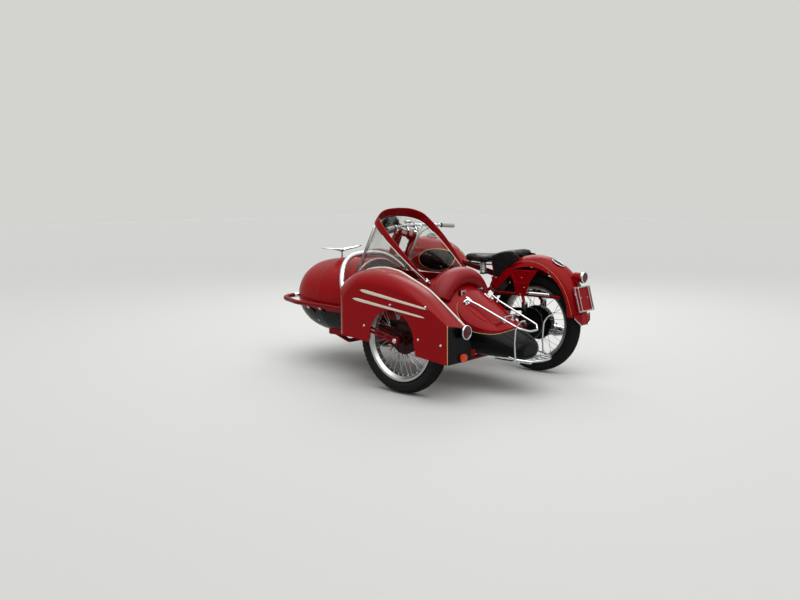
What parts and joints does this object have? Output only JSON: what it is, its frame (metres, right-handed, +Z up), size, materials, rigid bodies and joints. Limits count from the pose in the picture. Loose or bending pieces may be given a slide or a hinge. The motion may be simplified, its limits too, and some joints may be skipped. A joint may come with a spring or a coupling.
{
  "type": "sidecar motorcycle",
  "caption": "Red single-cylinder motorcycle with telescopic fork and a round-bodied single-seat sidecar with windscreen, mudguard, boot lid and rack.",
  "frame": {"origin": "centre of the whole outfit's box, on the ground the wheels stand on", "axes": "+X forward, +Y to the rider's left, where the sidecar is, +Z up"},
  "size_m": [2.3629, 1.5554, 1.1174],
  "materials": {
    "red_paint": "gloss enamel",
    "black_paint": "gloss enamel",
    "chrome": "polished",
    "alloy": "cast, brushed",
    "iron": "cast",
    "steel": "bright",
    "tyre": "moulded",
    "black_rubber": "moulded",
    "grey_rubber": "moulded grip",
    "black_leather": "grained",
    "red_leather": "grained",
    "clear_glass": "clear",
    "lamp_glass": "fluted",
    "red_lens": "moulded lens",
    "amber_lens": "moulded lens",
    "wood": "varnished board"
  },
  "bodies": {
    "outfit": {"backrest_roll": "red_leather", "bike_frame": "red_paint", "bulkhead": "wood", "carburettor": "alloy", "chain_guard": "red_paint", "cockpit_floor": "wood", "crankcase": "alloy", "cylinder_barrel": "iron", "cylinder_head": "alloy", "drive_chain": "steel", "exhaust": "chrome", "foot_controls": "steel", "fuel_cap": "chrome", "fuel_tank": "red_paint", "hoop": "chrome", "hull_mounts": "black_rubber", "hull_shackles": "chrome", "hull_shell": "red_paint", "lid_hinges": "chrome", "mudguard_back_panel": "black_paint", "nose_ornament": "chrome", "number_plate": "red_paint", "pillion_bracket": "black_paint", "pillion_pad": "black_leather", "rear_axle": "steel", "rear_mudguard": "red_paint", "rear_rack": "chrome", "rider_saddle": "black_leather", "saddle_springs": "steel", "seat_back": "red_leather", "seat_cushion": "red_leather", "sidecar_chassis": "red_paint", "sidecar_indicator": "amber_lens", "sidecar_lamp": "black_paint", "sidecar_lamp_lens": "red_lens", "sidecar_mudguard": "red_paint", "swing_fork": "red_paint", "tail_lamp_housing": "red_paint", "tail_lamp_lens": "red_lens", "windscreen_frame": "red_paint", "windscreen_glass": "clear_glass"},
    "steering": {"fork": "red_paint", "front_mudguard": "red_paint", "headlamp_shell": "red_paint", "headlamp_rim": "chrome", "headlamp_lens": "lamp_glass", "handlebar": "chrome", "handlebar_grips": "grey_rubber", "hand_levers": "chrome", "left_cable": "black_rubber", "right_cable": "black_rubber"},
    "front_wheel_body": {"front_tyre": "tyre", "front_wheel": "steel"},
    "rear_wheel_body": {"rear_tyre": "tyre", "rear_wheel": "steel"},
    "sidecar_wheel_body": {"sidecar_tyre": "tyre", "sidecar_wheel": "steel"},
    "boot_lid_body": {"boot_lid": "red_paint", "luggage_rails": "chrome"}
  },
  "joints": [
    {"name": "steering_head", "type": "hinge", "parent": "outfit", "child": "steering", "pos_m": [0.44338, -0.38233, 0.79609], "axis": [-0.4384, 0, 0.8988], "range_deg": [-30, 30]},
    {"name": "front_wheel_spin", "type": "hinge", "parent": "steering", "child": "front_wheel_body", "pos_m": [0.7465, -0.38233, 0.332], "axis": [0, 1, 0], "continuous": true},
    {"name": "rear_wheel_spin", "type": "hinge", "parent": "outfit", "child": "rear_wheel_body", "pos_m": [-0.7135, -0.38233, 0.332], "axis": [0, 1, 0], "continuous": true},
    {"name": "sidecar_wheel_spin", "type": "hinge", "parent": "outfit", "child": "sidecar_wheel_body", "pos_m": [-0.4565, 0.68767, 0.332], "axis": [0, 1, 0], "continuous": true},
    {"name": "boot_lid_hinge", "type": "hinge", "parent": "outfit", "child": "boot_lid_body", "pos_m": [-0.6215, 0.21767, 0.60174], "axis": [0, 1, 0], "range_deg": [0, 50]}
  ]
}
